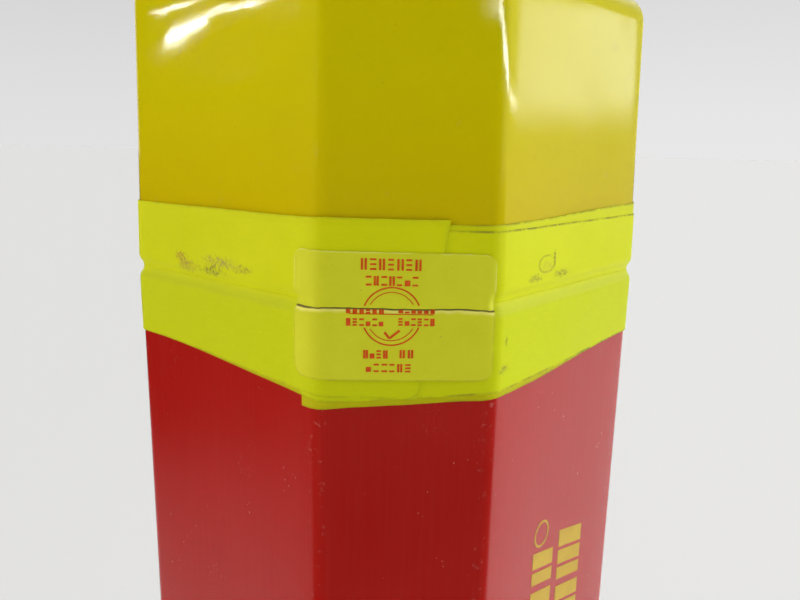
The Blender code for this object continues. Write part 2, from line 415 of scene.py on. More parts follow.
class Paint(Nodes):
    """One procedural material: a Principled shader, and calls that build up its base colour."""

    def __init__(self, name):
        self.material = bpy.data.materials.new(name)
        self.material.use_nodes = True
        super().__init__(self.material.node_tree)
        self.shader = self.tree.nodes["Principled BSDF"]
        self.place = self.add("ShaderNodeTexCoord").outputs["Object"]

    def tones(self, value, low, high, first, second):
        """Starts the base colour, going from the first tone to the second as value rises."""
        self.base = self.mix(self.remap(value, low, high), first, second)

    def cover(self, share, tint, strength=None):
        """Lays a tint over the base colour by this share, or by the share times a strength."""
        share = share if strength is None else self.times(share, strength)
        self.base = self.mix(share, self.base, tint)

    def finish(self, **values):
        """Sets the shader's own sockets. An underscore in a name stands for a space."""
        for name, value in {"Base_Color": self.base, **values}.items():
            self.put(self.shader, name.replace("_", " "), value)
        return self.material

    def axes(self):
        return self.add("ShaderNodeSeparateXYZ", {0: self.place}).outputs

    def stretched(self, x, y, z, turn=0.0):
        inputs = {"Vector": self.place, "Scale": (x, y, z), "Rotation": (0.0, 0.0, turn)}
        return self.add("ShaderNodeMapping", inputs).outputs["Vector"]

    def noise(self, scale, detail=4.0, rough=0.55, distortion=0.0, at=None):
        inputs = {"Vector": at or self.place, "Scale": scale, "Detail": detail}
        inputs |= {"Roughness": rough, "Distortion": distortion}
        return self.add("ShaderNodeTexNoise", inputs).outputs["Fac"]

    def cells(self, scale, at=None):
        inputs = {"Vector": at or self.place, "Scale": scale, "Randomness": 1.0}
        return self.add("ShaderNodeTexVoronoi", inputs, feature="F1").outputs["Distance"]

    def attribute(self, name):
        return self.add("ShaderNodeAttribute", attribute_name=name).outputs["Fac"]

    def specks(self, scale, reach, patch_scale, patches):
        """Spots that fade out over this reach from each cell's middle, only in noisy patches."""
        spots = self.remap(self.cells(scale), *reach)
        return self.times(spots, self.remap(self.noise(patch_scale, 2.0), *patches), clamp=True)

    def bump(self, height, strength, distance, under=None):
        inputs = {"Height": height, "Strength": strength, "Distance": distance}
        if under:
            inputs["Normal"] = under
        return self.add("ShaderNodeBump", inputs).outputs["Normal"]


def red_plastic():
    """Satin moulded plastic with fine upright draw lines, haze, hair scratches and dust."""
    paint = Paint("red_plastic")
    lines = paint.noise(1.0, 3.0, 0.6, at=paint.stretched(2600.0, 2600.0, 60.0))
    cloud = paint.noise(45.0, 3.0, 0.5)
    paint.tones(cloud, 0.35, 0.65, (0.395, 0.0050, 0.002), (0.425, 0.0070, 0.003))
    paint.cover(paint.remap(lines, 0.45, 0.75, 0.0, 0.3), (0.46, 0.018, 0.010))
    bent = paint.noise(420.0, 2.0, 0.5, 3.0, at=paint.stretched(1.0, 1.0, 0.45))
    hair = paint.remap(paint.math("ABSOLUTE", paint.math("SUBTRACT", bent, 0.5)), 0.004, 0.0)
    patch = paint.remap(paint.noise(110.0, 2.0), 0.60, 0.72)
    scratch = paint.times(hair, patch, clamp=True)
    dust = paint.remap(paint.cells(1500.0, at=paint.stretched(1.0, 1.0, 0.45, 0.3)), 0.13, 0.08)
    dust = paint.times(dust, paint.remap(paint.noise(3200.0, 3.0), 0.42, 0.56))
    dust = paint.times(dust, paint.remap(paint.noise(210.0, 4.0), 0.56, 0.64), clamp=True)
    marks = paint.math("MAXIMUM", paint.times(scratch, 0.6), dust)
    edge_marks = paint.remap(paint.attribute("corner"), 0.55, 1.0)
    edge_marks = paint.times(edge_marks, paint.remap(paint.noise(900.0, 6.0, 0.75), 0.58, 0.72))
    marks = paint.math("MAXIMUM", marks, paint.times(edge_marks, 0.5, clamp=True))
    paint.cover(marks, (0.75, 0.42, 0.36), 0.42)
    rough = paint.remap(paint.plus(lines, cloud), 0.7, 1.3, 0.17, 0.25)
    height = paint.plus(paint.times(lines, 0.4), paint.noise(700.0, 3.0))
    return paint.finish(
        Roughness=paint.plus(rough, paint.times(marks, 0.2)),
        Normal=paint.bump(height, 0.25, 0.04 * MM),
        IOR=1.48,
    )


def yellow_plastic():
    """Glossy moulded plastic, a little translucent, with specks and light rubbing."""
    paint = Paint("yellow_plastic")
    cloud = paint.noise(38.0, 3.0, 0.5)
    paint.tones(cloud, 0.35, 0.65, (0.61, 0.535, 0.0004), (0.64, 0.560, 0.0008))
    neck_behind = paint.remap(paint.axes()["Z"], NECK_TOP + 5 * MM, NECK_TOP - 12 * MM)
    paint.cover(neck_behind, (0.595, 0.465, 0.0004))
    specks = paint.specks(620.0, (0.075, 0.045), 120.0, (0.52, 0.6))
    paint.cover(specks, (0.42, 0.36, 0.03), 0.6)
    rub = paint.remap(paint.noise(340.0, 5.0, 0.7, 0.2), 0.64, 0.74)
    paint.cover(rub, (0.85, 0.8, 0.35), 0.08)
    smears = paint.noise(1.0, 4.0, 0.6, 0.8, at=paint.stretched(70.0, 70.0, 260.0))
    rough = paint.remap(smears, 0.35, 0.7, 0.045, 0.09)
    fine = paint.bump(paint.math("SUBTRACT", paint.noise(1500.0, 3.0), specks), 0.12, 0.03 * MM)
    return paint.finish(
        Roughness=paint.plus(rough, paint.times(rub, 0.12)),
        Normal=paint.bump(paint.noise(60.0, 2.0), 0.35, 0.4 * MM, fine),
        IOR=1.5,
        Coat_Weight=0.2,
        Coat_Roughness=0.03,
    )


def tape_film():
    """Fluorescent adhesive film: soft gloss, fine wrinkles, dark lines along its edges and scuffs.
    """
    paint = Paint("tape_film")
    cloud = paint.noise(90.0, 4.0, 0.6)
    paint.tones(cloud, 0.3, 0.7, (0.62, 0.655, 0.0010), (0.67, 0.70, 0.0020))
    single = paint.remap(paint.attribute("layers"), 1.8, 1.1)
    over_red = paint.remap(paint.axes()["Z"], SEAM, SEAM - MM, 0.12, 1.0)
    paint.cover(over_red, (0.55, 0.615, 0.0010), 0.8)
    paint.cover(paint.times(single, over_red), (0.49, 0.465, 0.0015))
    grain = paint.noise(1.0, 3.0, at=paint.stretched(900.0, 900.0, 5000.0))
    paint.cover(paint.remap(grain, 0.5, 0.75, 0.0, 0.25), (0.69, 0.73, 0.012))
    # Dark lines along the tape's edges, broken up, and strongest where an edge lies over other
    # layers.
    edge = paint.remap(paint.attribute("edge"), 0.30, 0.08)
    edge_breakup = paint.remap(paint.noise(420.0, 5.0, 0.7), 0.62, 0.40)
    dark_edging = paint.times(paint.times(edge, edge_breakup, clamp=True), paint.attribute("dark_edging"))
    deep = paint.remap(paint.attribute("layers"), 1.2, 1.9, 0.5, 0.85)
    paint.cover(paint.times(dark_edging, deep), (0.12, 0.085, 0.03))
    for scuff in SCUFFS:
        scuff_over(paint, *scuff)
    specks = paint.specks(700.0, (0.1, 0.06), 140.0, (0.56, 0.66))
    paint.cover(specks, (0.3, 0.28, 0.1), 0.5)
    wrinkle = paint.noise(1.0, 4.0, 0.6, 0.6, at=paint.stretched(160.0, 160.0, 700.0))
    return paint.finish(
        Roughness=paint.remap(cloud, 0.3, 0.7, 0.34, 0.46),
        Normal=paint.bump(wrinkle, 0.25, 0.15 * MM, paint.bump(grain, 0.15, 0.03 * MM)),
        IOR=1.25,
        Specular_IOR_Level=0.3,
    )


def seal_paper():
    """Coloured label paper: fibres, edge patches painted pale as a highlight above the seam and
    dark brown below it, and a crease with a painted shadow line in its slit and, below that, a
    pale band that is partly worn paper and partly painted highlight.
    """
    paint = Paint("seal_paper")
    fibre = paint.noise(2200.0, 5.0, 0.7)
    cloud = paint.noise(160.0, 4.0, 0.6)
    paint.tones(cloud, 0.3, 0.7, (0.62, 0.635, 0.013), (0.67, 0.685, 0.020))
    paint.cover(paint.remap(fibre, 0.5, 0.7, 0.0, 0.3), (0.69, 0.71, 0.05))
    chance = paint.noise(700.0, 5.0, 0.65)
    above = paint.remap(paint.axes()["Z"], SEAM - 2 * MM, SEAM + 2 * MM)
    # Broken patches along the edges: pale above the seam, where this is a painted highlight, and
    # dark brown below it.
    edge_marks = paint.remap(paint.attribute("edge"), 0.14, 0.03)
    edge_marks = paint.times(edge_marks, paint.remap(chance, 0.35, 0.6), clamp=True)
    paint.cover(edge_marks, paint.mix(above, (0.36, 0.27, 0.04), (0.85, 0.86, 0.30)), 0.55)
    fold = paint.attribute("fold")
    # A pale band below the slit of the crease: partly paper worn white, partly a painted highlight
    # where the lower lip faces up.
    pale = paint.remap(paint.plus(fold, paint.times(chance, 0.6)), 0.95, 0.6)
    paint.cover(pale, (0.93, 0.88, 0.20), 0.85)
    # Painted shadow: a dark line along the slit of the crease.
    painted_slit_shadow = paint.remap(paint.plus(fold, paint.times(chance, 0.16)), 0.34, 0.22)
    paint.cover(painted_slit_shadow, (0.10, 0.07, 0.012), 0.9)
    specks = paint.specks(900.0, (0.09, 0.05), 260.0, (0.58, 0.66))
    paint.cover(specks, (0.25, 0.2, 0.08), 0.6)
    return paint.finish(
        Roughness=paint.remap(fibre, 0.3, 0.7, 0.5, 0.68),
        Normal=paint.bump(fibre, 0.3, 0.02 * MM),
        IOR=1.3,
        Specular_IOR_Level=0.4,
    )


def ink(name, light, dark, scale):
    """Printing ink that thins in places."""
    paint = Paint(name)
    thin = paint.noise(scale, 5.0, 0.7)
    paint.tones(thin, 0.4, 0.65, dark, light)
    return paint.finish(
        Roughness=paint.remap(thin, 0.3, 0.7, 0.4, 0.6),
        Normal=paint.bump(thin, 0.2, 0.01 * MM),
        Specular_IOR_Level=0.2,
    )


def electrode_coating():
    """Baked mineral coating: gritty, mottled and slightly chipped, with painted shade in its small
    pits.
    """
    paint = Paint("electrode_coating")
    grit = paint.noise(3000.0, 5.0, 0.75)
    paint.tones(paint.noise(120.0, 4.0, 0.6), 0.3, 0.7, (0.20, 0.19, 0.175), (0.34, 0.325, 0.30))
    paint.cover(paint.remap(grit, 0.55, 0.75, 0.0, 0.6), (0.5, 0.48, 0.44))
    # Painted shade: the small pits, which the bump dents in, are painted dark.
    pits = paint.remap(paint.cells(1400.0), 0.16, 0.08)
    paint.cover(pits, (0.09, 0.085, 0.08), 0.5)
    return paint.finish(
        Roughness=paint.remap(grit, 0.3, 0.7, 0.75, 0.95),
        Normal=paint.bump(paint.math("SUBTRACT", grit, pits), 0.6, 0.12 * MM),
    )


def core_wire():
    """Drawn steel wire with fine lines along it and a trace of brown."""
    paint = Paint("core_wire")
    drawn = paint.noise(1.0, 3.0, at=paint.stretched(5000.0, 5000.0, 90.0))
    paint.tones(drawn, 0.3, 0.7, (0.42, 0.41, 0.40), (0.60, 0.59, 0.575))
    stain = paint.noise(260.0, 5.0, 0.65)
    paint.cover(paint.remap(stain, 0.56, 0.72, 0.0, 0.6), (0.30, 0.20, 0.13))
    return paint.finish(
        Metallic=1.0,
        Roughness=paint.remap(drawn, 0.3, 0.7, 0.22, 0.42),
        Normal=paint.bump(drawn, 0.3, 0.03 * MM),
    )


def pad_board():
    """Grey-brown fibre board."""
    paint = Paint("pad_board")
    fibre = paint.noise(1500.0, 6.0, 0.75, 0.8)
    paint.tones(fibre, 0.35, 0.65, (0.26, 0.19, 0.12), (0.46, 0.36, 0.25))
    return paint.finish(
        Roughness=paint.remap(fibre, 0.3, 0.7, 0.8, 0.95),
        Normal=paint.bump(fibre, 0.6, 0.2 * MM),
    )


SCUFF_DEPTH = 2.0 * MM
# Marks on the tape, in millimetres: the face, the distance from its left sharp edge, the height
# over the seam, half the width and half the height. Then how ragged and how fine the edge is, the
# colour, its strength, and whether only the rim shows.
SCUFFS = (
    (-1, 10.2, 2.5, 1.2, 0.7, 3.5, 1900.0, (0.34, 0.05, 0.06), 0.85, False),
    (-1, 11.6, 1.5, 2.2, 1.0, 4.0, 1500.0, (0.36, 0.20, 0.07), 0.75, False),
    (-1, 17.0, 1.3, 2.4, 0.7, 4.0, 1600.0, (0.16, 0.12, 0.05), 0.85, False),
    (-1, 18.9, 2.5, 3.4, 0.8, 4.0, 1400.0, (0.30, 0.22, 0.10), 0.75, False),
    (-1, 22.8, 2.1, 1.8, 0.6, 4.0, 1700.0, (0.24, 0.19, 0.05), 0.7, False),
    (1, 10.3, 3.4, 2.2, 1.15, 0.35, 900.0, (0.06, 0.05, 0.02), 0.95, True),
    (1, 10.3, 2.9, 1.5, 1.0, 2.5, 1500.0, (0.50, 0.42, 0.08), 0.4, False),
    (1, 12.1, 3.9, 0.35, 1.0, 2.0, 2200.0, (0.12, 0.10, 0.04), 0.85, False),
    (1, 13.9, 1.9, 1.8, 0.5, 4.0, 2100.0, (0.10, 0.08, 0.03), 0.9, False),
    (1, 7.6, 1.9, 1.6, 0.5, 4.0, 2100.0, (0.16, 0.13, 0.05), 0.85, False),
    (1, 1.9, -4.6, 0.25, 0.7, 3.0, 3200.0, (0.10, 0.08, 0.03), 0.8, False),
    (1, 1.5, -7.9, 0.9, 0.5, 4.0, 2800.0, (0.12, 0.10, 0.04), 0.8, False),
    (3, 22.0, 2.0, 3.6, 0.9, 4.0, 1500.0, (0.34, 0.28, 0.10), 0.7, False),
    (5, 12.0, -5.0, 1.8, 1.0, 4.0, 1500.0, (0.30, 0.24, 0.09), 0.7, False),
)


def scuff_over(paint, face, along, above, wide, high, ragged, scale, tint, strength, rim_only):
    """Paints a ragged smear, or the broken rim of one, round a place on the tape."""
    position = on_flat(face, along * MM)
    z = SEAM + above * MM
    x, y = outline_point(position, skin_inset(z))
    out = facing_out(position)
    offset = paint.vector("SUBTRACT", paint.place, (x, y, z))
    across = Vector((-out.y, out.x, 0.0)) / (wide * MM)
    upwards = Vector((0.0, 0.0, 1.0)) / (high * MM)
    squares = []
    for axis in (across, upwards, out / SCUFF_DEPTH):
        reach = paint.vector("DOT_PRODUCT", offset, axis)
        squares.append(paint.times(reach, reach))
    length = paint.math("SQRT", paint.plus(paint.plus(*squares[:2]), squares[2]))
    length = paint.plus(length, paint.times(paint.noise(scale, 6.0, 0.75), ragged))
    patch = paint.remap(length, 1.0 + ragged * 0.52, 0.8 + ragged * 0.42)
    if rim_only:
        inside = paint.remap(length, 0.90 + ragged * 0.5, 0.74 + ragged * 0.5)
        patch = paint.math("SUBTRACT", patch, inside, clamp=True)
        broken = paint.remap(paint.noise(420.0, 3.0), 0.34, 0.44)
    else:
        broken = paint.remap(paint.noise(1.6 * scale, 5.0, 0.7), 0.44, 0.6, 0.15, 1.0)
    paint.cover(paint.times(patch, broken, clamp=True), tint, strength)


# ---- the moulded parts


def panel_sink(position, z):
    """Moulded walls sink a little in the middle of each flat."""
    face = math.floor(position)
    share = (position - face) / FLAT_SHARE
    if share >= 1.0:
        return 0.0
    across = math.sin(math.pi * share) ** 2
    depth = WIDE_SINK if face % 2 else NARROW_SINK
    if z > SEAM:
        up = smooth((z - SEAM - 4 * MM) / (8 * MM)) * smooth((TOP - 6 * MM - z) / (8 * MM))
    else:
        up = smooth((SEAM - 4 * MM - z) / (30 * MM)) * smooth((z - 8 * MM) / (30 * MM))
    return -depth * across * up


def parting_ridge(position, z):
    """The tube's mould leaves a fine ridge down the middle of the front and the back."""
    face = math.floor(position)
    if face % (FACES // 2) or z > SEAM:
        return 0.0
    width = NARROW_FACE - 2 * CORNER_RUN
    off = abs((position - face) / FLAT_SHARE - 0.5) * width
    return RIDGE_HEIGHT * max(1 - off / RIDGE_HALF_WIDTH, 0.0)


def tube_shell(finish):
    neck = WALL + NECK_CLEARANCE
    neck_inside = neck + NECK_WALL
    neck_lean = wall_inset(NECK_TOP)
    shoulder = SEAM - SEAM_HALF_GAP
    recess = wall_inset(0.0) + BASE_RIM
    steps = ((1.2, 1.0), (0.9, 0.92), (0.5, 0.55), (0.2, 0.12), (0.0, 0.0))
    profile = [(recess + run * MM, BASE_RECESS * deep) for run, deep in steps]
    wall = edge_arc(BASE_EDGE_RADIUS, wall_inset(BASE_EDGE_RADIUS), 0.0, rising=True)
    lip = lip_arc(-1)
    profile += wall + upright(wall[-1], lip[0], 46) + lip
    profile += [(neck - BREAK, shoulder), (neck, shoulder + BREAK)]
    foot = (neck + wall_inset(SEAM + 2 * MM), SEAM + 2 * MM)
    head = (neck + neck_lean, NECK_TOP - NECK_EDGE)
    profile += [foot] + upright(foot, head, 6) + [head]
    profile += [
        (neck + neck_lean + 0.3 * NECK_EDGE, NECK_TOP - 0.3 * NECK_EDGE),
        (neck + neck_lean + NECK_EDGE, NECK_TOP),
        (neck_inside + neck_lean - BREAK, NECK_TOP),
        (neck_inside + neck_lean, NECK_TOP - BREAK),
        (neck_inside, shoulder - WALL),
        (WALL, shoulder - WALL - (neck_inside - WALL)),
    ]
    inside_foot = (WALL + wall_inset(FLOOR_THICKNESS + MM), FLOOR_THICKNESS + MM)
    profile += upright(profile[-1], inside_foot, 12)
    profile += [inside_foot, (inside_foot[0] + MM, FLOOR_THICKNESS)]

    def shift(position, inset, z):
        outside = inset < WALL * 0.9 + wall_inset(min(z, SEAM)) and z < shoulder
        return panel_sink(position, z) + parting_ridge(position, z) if outside else 0.0

    return shell("tube_shell", profile, finish, shift)


def cap_shell(finish):
    rim = SEAM + SEAM_HALF_GAP
    ceiling = TOP - WALL
    edge_foot = wall_inset(TOP - CAP_EDGE_RADIUS)
    outside = edge_arc(CAP_EDGE_RADIUS, edge_foot, TOP, rising=False, steps=12)
    lip = lip_arc(1)
    dish_edge = outside[0][0] + 1.5 * MM
    profile = []
    for step in range(TOP_RINGS + 1):
        share = step / TOP_RINGS
        inset = TOP_CENTRE_INSET + (dish_edge - TOP_CENTRE_INSET) * share
        profile.append((inset, TOP - TOP_DISH * smooth(1 - share)))
    profile += outside + upright(outside[-1], lip[0], 20) + lip
    profile += [(WALL - 0.1 * MM, rim), (WALL, rim + BREAK)]
    inner_edge = CAP_EDGE_RADIUS - WALL
    inside = edge_arc(inner_edge, WALL + wall_inset(ceiling - inner_edge), ceiling, rising=False)
    inside.reverse()
    profile += upright(profile[-1], inside[0], 8) + inside

    def shift(position, inset, z):
        outer = inset < WALL * 0.9 + wall_inset(z) and rim < z < TOP - MM
        return panel_sink(position, z) if outer else 0.0

    return shell("cap_shell", profile, finish, shift)


def gate_mark(name, z, up, finish):
    """The ring and nub that an injection gate leaves, standing on a face at height z."""
    points = []
    for radius, height in GATE_PROFILE:
        for side in range(GATE_SIDES):
            angle = 2 * math.pi * side / GATE_SIDES
            x, y = radius * MM * math.cos(angle), radius * MM * math.sin(angle)
            points.append((x, y, z + height * MM * up))
    return new_object(name, points, ring_faces(len(GATE_PROFILE), GATE_SIDES), finish)


# ---- tape and seal


def tape_edges(position):
    """How far the tape reaches above and below the seam here, eased between the table's rows."""
    for before, after in zip(TAPE_EDGES, TAPE_EDGES[1:]):
        if position <= after[0]:
            share = smooth((position - before[0]) / (after[0] - before[0]))
            return [(a + share * (b - a)) * MM for a, b in zip(before[1:], after[1:])]
    return [reach * MM for reach in TAPE_EDGES[-1][1:]]


def sheet_mesh(name, columns, finish, thickness, values):
    """A thin closed sheet. Each column is a list of (position, z, lift) and the values that its
    material reads."""
    points = []
    read = []
    for above in (0.0, thickness):
        for column in columns:
            for position, z, lift, *extra in column:
                x, y = outline_point(position, skin_inset(z) - (lift + above))
                points.append((x, y, z))
                read.append(extra)
    faces = slab_faces(len(columns), len(columns[0]))
    made = new_object(name, points, faces, finish, sharp=60.0)
    for index, value in enumerate(values):
        give(made, value, [extra[index] for extra in read])
    return made


def tape_shares():
    """Shares from 0 to 1 across the tape, bunched at its edges."""
    ends = TAPE_EDGE_SHARE
    inner = [row / (TAPE_ROWS - 1) for row in range(1, TAPE_ROWS - 1)]
    return [0.0, ends] + [ends + share * (1 - 2 * ends) for share in inner] + [1 - ends, 1.0]


def tape_span():
    start = on_flat(-1, WIDE_FACE - TAPE_START_BEFORE_FRONT)
    return start, on_flat(TAPE_TURNS * FACES, TAPE_END_AT_SEAM - 2.5 * MM)


def layers_at(position, off):
    """How many layers of tape lie at this place, counting the turn that position is on."""
    count = 0.0
    while position >= tape_span()[0]:
        above, below = tape_edges(position)
        count += smooth(min(above - off, off + below) / (0.3 * MM) + 0.5)
        position -= FACES
    return count


def edge_darkness(position):
    """The tape's dark edge lines are strongest round the front right corner, and faint on the
    left.
    """
    place = position % FACES
    return 0.34 + 0.66 * smooth((place - 0.55) / 0.3) * smooth((3.2 - place) / 1.2)


def tape_half(name, upper, finish):
    """One half of the tape, slit at the groove. The strip goes round twice from its start just
    left of the front, steps up over itself and ends on the front in a slanting cut."""
    start, last = tape_span()
    climb = TAPE_CLIMB * FLAT_SHARE / (WIDE_FACE - 2 * CORNER_RUN)
    positions = [start] + positions_between(start, last)
    for turn in range(1, TAPE_TURNS + 1):
        over = turn * FACES + start
        positions += [over - 2 * climb, over - climb, over - climb / 2, over + climb / 2]
    positions = sorted(positions) + [last]
    shares = tape_shares()
    columns = []
    for position in positions + [None]:
        end_cut = position is None
        position = last if end_cut else position
        above, below = tape_edges(position)
        row = 2.0 if upper else 5.0
        wander = noise.noise(Vector((position * 3.1, row, 0.0))) * EDGE_WANDER
        row = 4.0 if upper else 9.0
        wander += noise.noise(Vector((position * 23.0, row, 0.0))) * EDGE_NICKS
        low, high = (TAPE_SLIT, above + wander) if upper else (-below + wander, -TAPE_SLIT)
        whole = math.floor((position - start) / FACES + 1e-6)
        short = (whole + 1) * FACES + start - position
        lift = whole * FILM_RISE + FILM_GAP
        if short < 2 * climb and whole < TAPE_TURNS:
            lift += FILM_RISE * smooth((2 * climb - short) / (1.3 * climb))
        column = []
        for share in shares:
            off = low + share * (high - low)
            place = position
            to_edge = (high - off if upper else off - low) / MM
            if end_cut:
                place = on_flat(TAPE_TURNS * FACES, TAPE_END_AT_SEAM + TAPE_END_SLANT * off)
                to_edge = min(to_edge, 0.12)
            ripple = noise.noise(Vector((place * 9.0, off / MM * 0.25, 7.0))) + 1.0
            pucker = noise.noise(Vector((place * 31.0, off / MM * 0.12, 1.0)))
            uneven = RIPPLE * ripple + PUCKER * pucker
            layers = layers_at(position, off)
            column.append((place, SEAM + off, lift + uneven, to_edge, layers, edge_darkness(place)))
        columns.append(column)
    return sheet_mesh(name, columns, finish, FILM, ("edge", "layers", "dark_edging"))


def seal_edges(position):
    """The seal's lower and upper edge over the seam here, with its rounded corners."""
    start, end = seal_span()
    run = WIDE_FACE - 2 * CORNER_RUN
    from_start = (position - start) * run / FLAT_SHARE
    from_end = (end - position) * CORNER_RADIUS * TURN / (1 - FLAT_SHARE)
    near = min(from_start, from_end, SEAL_CORNER)
    cut = SEAL_CORNER - math.sqrt(max(SEAL_CORNER**2 - (SEAL_CORNER - near) ** 2, 0.0))
    top = SEAL_TOP_LEFT - SEAL_DROP * seal_share(position)
    return top - SEAL_HEIGHT + cut, top - cut, min(from_start, from_end)


def seal_span():
    return on_flat(-1, WIDE_FACE - SEAL_START_BEFORE_FRONT), SEAL_END


def seal_share(position):
    """How far across the seal this is, 0 to 1 from its left end."""
    start, end = seal_span()
    return (position - start) / (end - start)


def seal_lift(position, off):
    """How far the seal's paper stands over the skin: on three layers of tape up to the cut, two
    after it. Over the groove its upper half hangs like a lip, and the lower half dips in."""
    cut = on_flat(0, TAPE_END_AT_SEAM + TAPE_END_SLANT * off)
    layers = TAPE_TURNS + 1 - smooth((position - cut) / 0.04 + 0.2)
    left = on_flat(-1, WIDE_FACE - TAPE_START_BEFORE_FRONT)
    layers -= smooth((left - position) / 0.02 + 0.5)
    lift = layers * FILM_RISE + 2 * FILM_GAP + SEAL_GLUE
    share = seal_share(position)
    hangs = smooth((share - 0.01) / 0.12) * (1 - 0.75 * smooth((share - 0.94) / 0.06))
    above_slit = off - crease(position)
    bridged = skin_inset(SEAM + off) - wall_inset(SEAM + off)
    if above_slit > 0:
        lift += hangs * (bridged + SEAL_CURL * smooth(1 - above_slit / SEAL_CURL_HEIGHT))
    else:
        lift += hangs * 0.72 * bridged
    crinkle = noise.noise(Vector((position * 14.0, off / MM * 0.5, 3.0)))
    return lift + CRINKLE * (crinkle + 1.0)


def crease(position):
    """The height of the slit in the seal over the seam: it wanders and droops at the right."""
    share = seal_share(position)
    sag = -0.40 * MM + 0.10 * MM * math.sin(share * 7.0) - 0.40 * MM * smooth((share - 0.80) / 0.2)
    sag += 0.07 * MM * noise.noise(Vector((position * 17.0, 0.0, 5.0)))
    return sag - 0.12 * MM * smooth(1 - share / 0.2)


def seal_half(name, upper, finish):
    """One half of the seal, slit along its crease."""
    start, end = seal_span()
    side = 1 if upper else -1
    run = SEAL_CORNER * FLAT_SHARE / (WIDE_FACE - 2 * CORNER_RUN)
    arc = SEAL_CORNER * (1 - FLAT_SHARE) / (CORNER_RADIUS * TURN)
    positions = [start + share * run for share in SEAL_ROUNDING]
    positions += positions_between(start + run, end - arc, finer=4)
    positions += [end - share * arc for share in reversed(SEAL_ROUNDING)]
    columns = []
    for position in positions:
        low, high, from_side = seal_edges(position)
        cut = crease(position) + side * SEAL_SLIT
        edge = high if upper else low
        offs = [cut + side * step * MM for step in NEAR_CREASE]
        rest = edge - offs[-1]
        offs += [offs[-1] + rest * step / SEAL_ROWS_LEFT for step in range(1, SEAL_ROWS_LEFT)]
        offs += [edge - side * 0.1 * MM, edge]
        column = []
        for off in offs:
            to_edge = min(abs(edge - off), from_side) / MM
            to_fold = UNFOLDED if upper else (cut - off) / MM
            column.append((position, SEAM + off, seal_lift(position, off), to_edge, to_fold))
        columns.append(column)
    return sheet_mesh(name, columns, finish, PAPER, ("edge", "fold"))


# ---- printing


class Print:
    """Flat marks laid on a surface as one thin mesh. lift(position, off) is the height over the
    skin that they lie at, and keep(position, off) says where they are printed at all."""

    def __init__(self, lift, keep=None):
        self.lift = lift
        self.keep = keep
        self.points = []
        self.faces = []

    def patch(self, columns):
        """A grid of (position, off) as a thin closed solid."""
        if self.keep and not all(self.keep(*place) for column in columns for place in column):
            return
        first = len(self.points)
        for top in (0.0, INK):
            for column in columns:
                for position, off in column:
                    height = self.lift(position, off) + INK_CLEARANCE + top
                    x, y = outline_point(position, skin_inset(SEAM + off) - height)
                    self.points.append((x, y, SEAM + off))
        self.faces += slab_faces(len(columns), len(columns[0]), first)

    def bar(self, face, left, right, low, high, rise=0.0, columns=4, rows=3):
        """A bar on a face between these distances from its left sharp edge and these heights
        over the seam. Its right end is higher than its left by rise times its width."""
        grid = []
        for i in range(columns + 1):
            across = left + (right - left) * i / columns
            place = on_flat(face, across)
            up = rise * (across - left)
            grid.append([(place, low + (high - low) * j / rows + up) for j in range(rows + 1)])
        self.patch(grid)

    def sign(self, face, box, kind):
        """A small plain sign in a box of left, right, low and high: two upright strokes, three
        or two level dashes, or a low block."""
        left, right, low, high = box
        wide = SIGN_LINE * 1.2
        if kind == 0:
            self.bar(face, left, left + wide, low, high, columns=2)
            self.bar(face, right - wide, right, low, high, columns=2)
        elif kind == 3:
            self.bar(face, left, right, low, low + 0.6 * (high - low))
        else:
            for dash in range(kind + 1):
                at = low + (high - low - SIGN_LINE) * dash / kind
                self.bar(face, left, right, at, at + SIGN_LINE, rows=1)

    def ring(self, face, centre, radius, width, broken=(0.0, 0.0)):
        """A ring round (distance from the left sharp edge, height over the seam), left out
        between two heights."""
        turns = [2 * math.pi * step / RING_PIECES for step in range(RING_PIECES + 1)]
        for pair in zip(turns, turns[1:]):
            if broken[0] < centre[1] + radius * math.sin(sum(pair) / 2) < broken[1]:
                continue
            grid = []
            for turn in pair:
                column = []
                for reach in (radius - width, radius):
                    across = centre[0] + reach * math.cos(turn)
                    column.append((on_flat(face, across), centre[1] + reach * math.sin(turn)))
                grid.append(column)
            self.patch(grid)

    def stroke(self, face, start, end, width, pieces):
        """A straight line of this width between two (distance, height) places."""
        along = Vector((end[0] - start[0], end[1] - start[1]))
        aside = Vector((-along.y, along.x)).normalized() * width / 2
        places = [Vector(start) + along * step / pieces for step in range(pieces + 1)]
        for pair in zip(places, places[1:]):
            grid = []
            for place in pair:
                spots = (place - aside, place + aside)
                grid.append([(on_flat(face, spot.x), spot.y) for spot in spots])
            self.patch(grid)

    def made(self, name, finish):
        return new_object(name, self.points, self.faces, finish, sharp=60.0)


# Rows of plain signs on the seal in millimetres: left and right end, low and high edge. Then
# how many there are.
SEAL_ROWS = (
    (4.65, 11.5, 3.8, 5.05, 7),
    (5.2, 11.1, 2.1, 3.15, 7),
    (3.1, 7.4, -0.98, -0.5, 6),
    (8.8, 13.0, -0.98, -0.5, 6),
    (3.1, 7.4, -2.35, -1.5, 6),
    (8.8, 13.0, -2.35, -1.5, 6),
    (5.0, 7.9, -6.05, -5.1, 4),
    (9.0, 10.8, -6.05, -5.1, 2),
    (5.3, 10.5, -7.6, -6.65, 6),
)
SEAL_SIGNS = (0, 0, 1, 2, 2, 3)
SIGN_LINE = 0.2 * MM
SEAL_ROW_DROP = 0.02
SEAL_MARK = (8.05 * MM, -1.35 * MM)
SEAL_MARK_BREAK = (-2.75 * MM, -0.1 * MM)
# A tick and a level line, in millimetres from the middle of the mark: two ends, width, pieces.
SEAL_STROKES = (
    ((-0.75, -1.75), (-0.2, -2.45), 0.26, 4),
    ((-0.2, -2.45), (0.9, -1.55), 0.26, 4),
    ((-4.6, 0.32), (4.6, 0.2), 0.09, 24),
)


